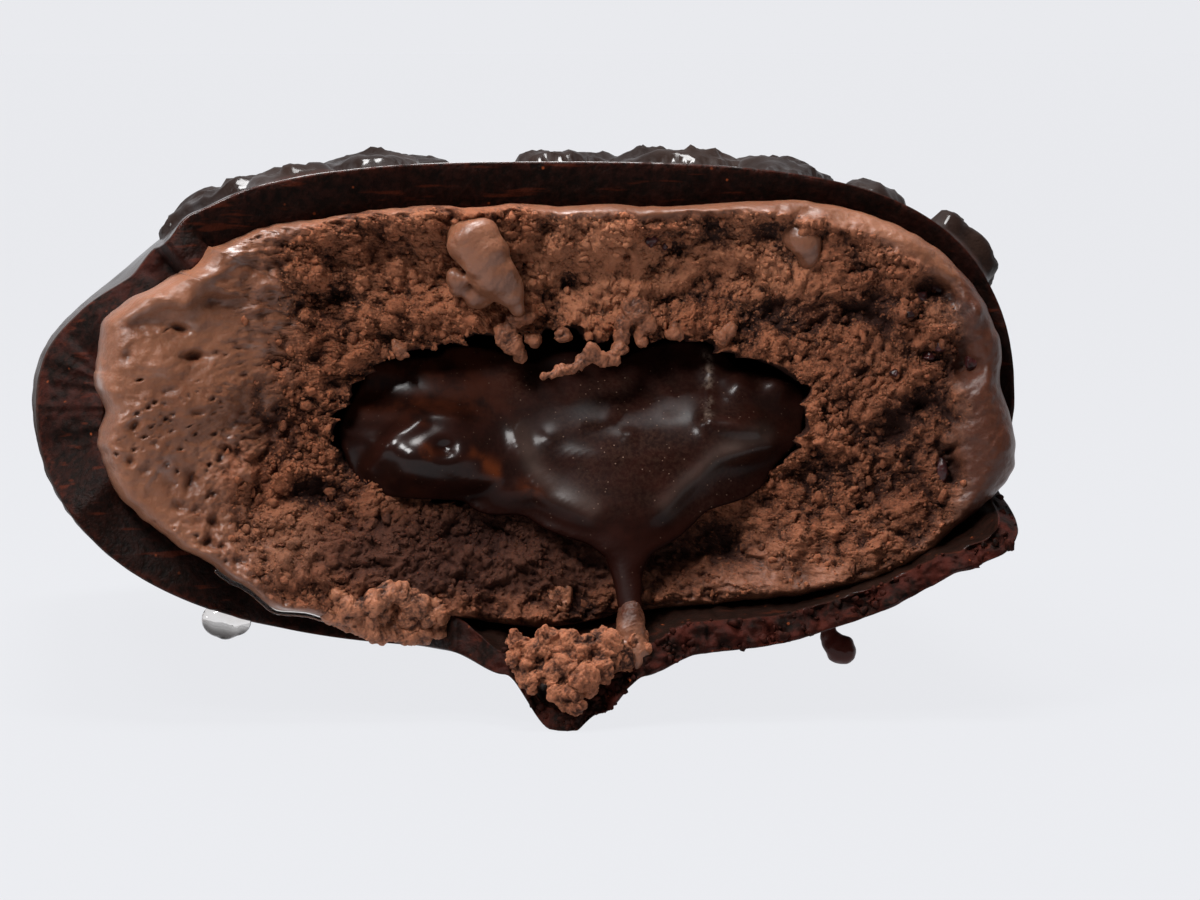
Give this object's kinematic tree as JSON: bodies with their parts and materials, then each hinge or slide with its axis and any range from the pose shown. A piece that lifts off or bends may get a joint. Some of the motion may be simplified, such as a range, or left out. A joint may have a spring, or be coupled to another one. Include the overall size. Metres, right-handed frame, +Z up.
{
  "type": "bitten ice cream bar",
  "caption": "Chocolate-coated ice cream bar with one end bitten off, showing the broken shell, crumbly ice cream and a soft fudge core that drips.",
  "frame": {"origin": "middle of the bar's outline seen from above, on the surface it lies on", "axes": "+X to the right seen from the bite, +Y from the bitten end to the back end, +Z up"},
  "size_m": [0.0494, 0.0744, 0.0283],
  "materials": {
    "chocolate": "glossy dark chocolate with broken edges and cocoa specks",
    "ice_cream": "crumbly where broken, smooth and wet where melted",
    "fudge": "wet gloss, slightly translucent"
  },
  "bodies": {
    "root": {"chocolate_shell": "chocolate", "ice_cream": "ice_cream", "fudge_core": "fudge", "fallen_crumb": "ice_cream"}
  },
  "joints": []
}
